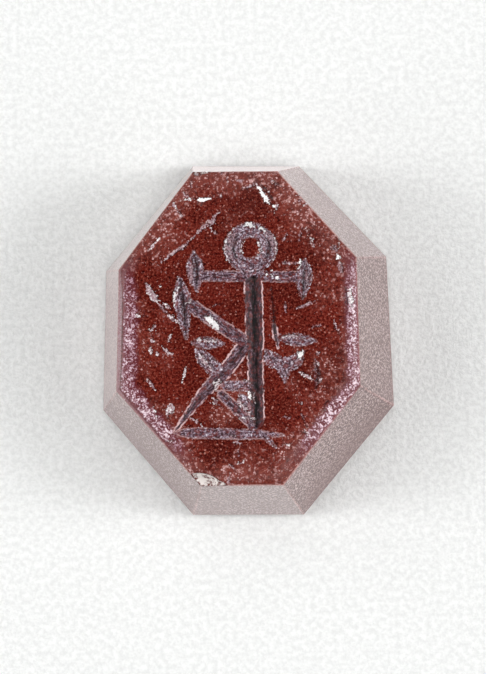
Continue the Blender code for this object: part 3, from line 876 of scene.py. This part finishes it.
def cut_sign(tree, place, marks, fine, blobs, colour):
    """Lays the frosted grooves over the colour. Clean-cut strokes have painted shade along their deep
    floor and painted highlights on their lips, while pale ones are mere bruises that break up into
    grains at their edges."""
    cut, crease = marks["cut"], marks["cut_crease"]
    run = add(tree, "ShaderNodeAttribute", attribute_name="cut_run", out="Vector")
    pale = add(tree, "ShaderNodeSeparateXYZ", run, out="Z")
    scatter = add(tree, TIMES, add(tree, MINUS, fine, 0.5),
                  add(tree, EASE, pale, 0.2, 0.8, 0.05 * MM, 0.35 * MM))
    inside = add(tree, EASE, add(tree, PLUS, cut, scatter), -0.02 * MM, 0.03 * MM)
    frosting, streak = frosted_grooves(tree, run, fine, blobs, pale)
    colour = add(tree, MIX, inside, colour, frosting)
    patchy = add(tree, NOISE, place, 2.8 * PER_MM, 4.0, 0.8)
    # Painted shade: a dark core along the groove's middle, strongest in clean-cut strokes.
    painted_core_shade = fade(tree, add(tree, EASE, crease, 0.0, 0.9), pale, -0.2, 0.65, 0.85, 0.15)
    painted_core_shade = fade(tree, painted_core_shade, patchy, 0.36, 0.52, 0.35, 1.0)
    painted_core_shade = fade(tree, painted_core_shade, streak, 0.58, 0.46, 0.35, 1.0)
    colour = add(tree, MIX, painted_core_shade, colour, "#1f0e14")
    # Painted shade: a near-black floor in the deepest, darkest strokes.
    floor = fade(tree, add(tree, EASE, crease, 0.15, 0.9), pale, -0.5, -0.1, 1.0, 0.0)
    floor = fade(tree, floor, patchy, 0.36, 0.52, 0.4, 1.0)
    floor = fade(tree, floor, streak, 0.54, 0.42, 0.12, 1.0)
    colour = add(tree, MIX, floor, colour, "#050203")
    # Painted highlight: pale pink lips just outside the groove's edge.
    painted_lip_highlight = fade(tree, add(tree, EASE, cut, -0.05 * MM, -0.015 * MM), cut, 0.035 * MM, 0.0)
    flaked = add(tree, NOISE, place, 1.5 * PER_MM, 3.0, 0.7)
    painted_lip_highlight = fade(tree, painted_lip_highlight, flaked, 0.44, 0.54)
    painted_lip_highlight = fade(tree, painted_lip_highlight, pale, 0.0, 0.7, 1.0, 0.12)
    return add(tree, MIX, painted_lip_highlight, colour, "#e8c3c4"), inside


def later_damage(tree, place, marks, grain, fine, colour):
    """Lays the clean breaks at the edge, then granular scratches over the colour. The breaks' pale is
    partly the newly broken stone's own frosting and partly painted highlight. Each scratch is bruised
    white or dark, its whitest parts painted glints, with a painted shadow line along one side of it."""
    chip, inset = marks["chip"], marks["inset"]
    # The breaks: paler further in, partly painted highlight, with a dark rim.
    crumbs = add(tree, PLUS, add(tree, NOISE, place, 4.0 * PER_MM, 3.0, 0.7),
                 add(tree, EASE, inset, 0.0, 0.25, -0.09, 0.03))
    break_and_glint = lay(tree, "#6a342d", "#efe6e2", crumbs, 0.38, 0.52)
    rim = add(tree, LARGER, add(tree, EASE, chip, 0.07, 0.02), add(tree, EASE, inset, 0.03, 0.01))
    break_and_glint = add(tree, MIX, add(tree, TIMES, rim, 0.8), break_and_glint, "#431712")
    colour = lay(tree, colour, break_and_glint, chip, 0.0, 0.03)

    run = add(tree, "ShaderNodeAttribute", attribute_name="scratch_run", out="Vector")
    run = add(tree, "ShaderNodeSeparateXYZ", run).node.outputs
    side, pallor = run["Y"], run["Z"]
    coarse = add(tree, MINUS, fine, 0.5)
    inside = add(tree, TIMES_PLUS, coarse, 0.2 * MM, marks["scratch"])
    # Painted shadow: a dark line along one side of each scratch.
    shade = fade(tree, add(tree, EASE, inside, -0.05 * MM, -0.01 * MM), side, 0.0, -0.03 * MM, 0.0, 0.7)
    colour = add(tree, MIX, shade, colour, "#250b09")
    cover = add(tree, EASE, add(tree, TIMES_PLUS, pallor, 0.14, grain), 0.48, 0.60)
    bruised = add(tree, TIMES, add(tree, EASE, inside, -0.01 * MM, 0.02 * MM), cover)
    # Painted glints: the palest scratches go near white.
    tone = add(tree, TIMES_PLUS, coarse, 2.6, pallor)
    white = lay(tree, "#24151b", "#a8868e", tone, -0.1, 0.5)
    white = lay(tree, white, "#fffdfd", tone, 0.6, 1.3)
    return add(tree, MIX, bruised, colour, white), bruised


def polished_jasper():
    """Dark red jasper: the polish gives clear reflections and wear gives pale pinkish specks, with
    painted milky reflection, glints and rim highlights laid over them, and the wheel-cut grooves are
    frosted purple-grey with painted shade on their floor and painted highlights on their lips."""
    material, tree, place, marks = new_material(
        "polished red jasper", "inset", "rim", "left_rim", "foot_diagonals", "wear_and_haze", "chip", "cut",
        "cut_crease", "scratch",
    )
    grain = add(tree, NOISE, place, GRAIN * PER_MM, 4.0, 0.8)
    fine = add(tree, NOISE, place, FINE_GRAIN * PER_MM, 2.0, 0.7)
    blobs = add(tree, OTHER_NOISE, place, 0.0, BLOBS * PER_MM, 2.0, 0.6)
    colour = sound_polish(tree, place, grain, fine)
    colour, worn = wear_and_painted_sheen(tree, place, marks, grain, blobs, colour)
    colour = worn_rim_and_highlights(tree, place, marks, fine, blobs, colour)
    colour, inside = cut_sign(tree, place, marks, fine, blobs, colour)
    colour, bruised = later_damage(tree, place, marks, grain, fine, colour)

    rough = add(tree, LARGER, add(tree, TIMES, inside, 0.45), add(tree, TIMES, worn, 0.35))
    rough = add(tree, LARGER, rough, add(tree, TIMES, bruised, 0.4))
    rough = add(tree, LARGER, rough, add(tree, EASE, grain, 0.3, 0.8, 0.12, 0.20))
    height = add(tree, PLUS, inside, add(tree, EASE, marks["inset"], 0.9, 0.1, 0.25, 1.5))
    height = add(tree, TIMES, height, add(tree, PLUS, grain, blobs))
    fixed = {"IOR": JASPER_IOR, "Specular IOR Level": 0.3}
    surface = give_surface(tree, colour, height, 0.012, fixed)
    tree.links.new(rough, surface.inputs["Roughness"])
    return material


def ground_jasper():
    """Flanks and back ground but not polished: a pale pinkish-grey frosting over the red, with painted
    shade on most flanks and painted light on the head-left one, painted shade darkening them towards
    the girdle, and nicked dark red along the corners between flanks."""
    material, tree, place, marks = new_material("ground red jasper", "flank_painted_shade", "foot_diagonals", "arris")
    patches = add(tree, NOISE, place, 0.7 * PER_MM, 4.0, 0.6)
    grain = add(tree, NOISE, place, GRIT * PER_MM, 2.0, 0.75)
    colour = lay(tree, "#907472", "#9e7f7d", patches, 0.35, 0.65)
    # Painted shade darkens the flanks that the lamps light less, and painted light makes the head-left
    # flank as pale as the paper it mirrors.
    for strength, showing in ((0.95, "#5c3836"), (-1.0, "#f3eeeb")):
        share = add(tree, TIMES, marks["flank_painted_shade"], strength, use_clamp=True)
        colour = add(tree, MIX, share, colour, showing)
    colour = lay(tree, colour, "#482c2a", grain, 0.41, 0.50, 0.9, 0.0)
    colour = lay(tree, colour, "#c9b3b0", grain, 0.51, 0.61, 0.0, 0.9)
    # Painted shade: the flanks darken towards the girdle, most on the foot's diagonal flanks, and more
    # in a band just above the girdle, where the paper and the contact shade them.
    height = add(tree, "ShaderNodeSeparateXYZ", place, out="Z")
    amount = add(tree, TIMES_PLUS, marks["foot_diagonals"], 0.5, 0.15)
    low = add(tree, TIMES, add(tree, EASE, height, 0.2 * MM, 2.6 * MM, 1.0, 0.0), amount)
    low = add(tree, LARGER, low, add(tree, EASE, height, 0.3 * MM, 0.55 * MM, 0.8, 0.0))
    colour = add(tree, MIX, low, colour, "#6a4744")
    blush = add(tree, EASE, height, THICKNESS - 0.5 * MM, THICKNESS - 0.2 * MM, 0.0, 0.4)
    colour = add(tree, MIX, blush, colour, "#96524e")
    pink = fade(tree, add(tree, EASE, marks["arris"], 0.07, 0.02), grain, 0.42, 0.56, 0.1, 0.7)
    colour = add(tree, MIX, pink, colour, "#c99f9b")
    nicks = add(tree, EASE, add(tree, NOISE, place, 2.2 * PER_MM, 3.0, 0.7), 0.55, 0.60, 0.0, 0.9)
    nicks = fade(tree, nicks, marks["arris"], 0.09, 0.05)
    colour = add(tree, MIX, nicks, colour, "#612b27")
    # Sheen stands for the ground grain, which stays pale where light grazes it
    give_surface(tree, colour, grain, 0.006, {
        "Roughness": 0.12, "IOR": JASPER_IOR, "Sheen Weight": 0.62, "Sheen Roughness": 0.5,
        "Sheen Tint": linear("#fff3f3"),
    })
    return material


def white_paper():
    """Matt white paper with a faint tooth."""
    material, tree, place, _ = new_material("white paper")
    tooth = add(tree, NOISE, place, PAPER_TOOTH * PER_MM, 4.0, 0.7)
    colour = lay(tree, "#ecedec", "#fbfcfb", tooth, 0.35, 0.65)
    give_surface(tree, colour, tooth, 0.05, {"Roughness": 0.9, "Specular IOR Level": 0.1})
    return material


def engraved_stone():
    """The finished stone: sign and later wear sunk into its face, as one plain mesh."""
    polished, ground = polished_jasper(), ground_jasper()
    mesh = stone_mesh()
    mark_wear(mesh)
    for finished in (polished, ground):
        mesh.materials.append(finished)
    blank = link(bpy.data.objects.new("stone_blank", mesh))
    tree = cutting_tree()
    wires = []
    for mark, strokes, cut in (
        ("cut", SIGN, {
            "Ragged Edge": 0.16 * MM, "Wall Curve": 1.3, "Rough Floor": 0.35, "Crease": 0.65,
        }),
        ("scratch", WEAR + stray_scratches(), {
            "Ragged Edge": 0.30 * MM, "Wall Curve": 1.5, "Rough Floor": 0.5, "Crease": 0.35,
        }),
    ):
        wires.append(stroke_lines(mark + "_strokes", strokes))
        give_tree(blank, tree, {
            "Strokes": wires[-1], "Stroke Count": len(strokes), "Inside Mark": mark,
            "Depth Mark": mark + "_depth", "Crease Mark": mark + "_crease",
            "Run Mark": mark + "_run", "Face Material": polished, **cut,
        })
    stone = made_plain(blank, "engraved_jasper")
    for wire in wires:
        bpy.data.objects.remove(wire)
    return stone


def softbox(name, direction, size, watts):
    """A soft light that faces the stone from a direction, unseen by the camera."""
    light = bpy.data.lights.new(name, "AREA")
    light.shape, light.size, light.size_y, light.energy = "RECTANGLE", size[0], size[1], watts
    lamp = link(bpy.data.objects.new(name, light))
    back = Vector(direction).normalized()
    lamp.location = back * SOFTBOX_DISTANCE
    lamp.rotation_euler = back.to_track_quat("Z", "Y").to_euler()
    lamp.visible_camera = False


def lighting():
    """Low softboxes left and right, a panel over the head, and a lamp beside the lens."""
    for name, (direction, size, watts) in SOFTBOXES.items():
        softbox(name, direction, size, watts)
    world = bpy.data.worlds.new("pale room")
    world.use_nodes = True
    world.node_tree.nodes["Background"].inputs["Color"].default_value = (*[ROOM_LIGHT] * 3, 1.0)
    bpy.context.scene.world = world


def camera():
    """A long lens nearly straight above the stone, a little towards its right and foot."""
    eye = Vector((math.tan(LEAN_RIGHT), math.tan(LEAN_HEAD), 1.0)).normalized()
    up = Vector((math.sin(TURN), math.cos(TURN), 0.0))
    up = (up - eye * up.dot(eye)).normalized()
    data = bpy.data.cameras.new("camera")
    data.sensor_width, data.lens, data.clip_start = SENSOR_WIDTH, FOCAL_LENGTH, 0.01
    thing = link(bpy.data.objects.new("camera", data))
    turned = Matrix((up.cross(eye), up, eye)).transposed().to_4x4()
    thing.matrix_world = Matrix.Translation(CAMERA_TARGET + eye * CAMERA_DISTANCE) @ turned
    bpy.context.scene.camera = thing


def paper_floor():
    """A wide sheet of paper, a hair below the stone's back so that the two don't flicker."""
    mesh = bpy.data.meshes.new("paper")
    half = 0.4
    corners = [(-half, -half, 0), (half, -half, 0), (half, half, 0), (-half, half, 0)]
    mesh.from_pydata(corners, [], [(0, 1, 2, 3)])
    mesh.materials.append(white_paper())
    floor = link(bpy.data.objects.new("paper", mesh))
    floor.location.z = -0.01 * MM
    return floor


bpy.context.scene.view_settings.view_transform = "Standard"
stone = engraved_stone()
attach(stone, "root")
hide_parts(NODE)
paper_floor()
lighting()
camera()
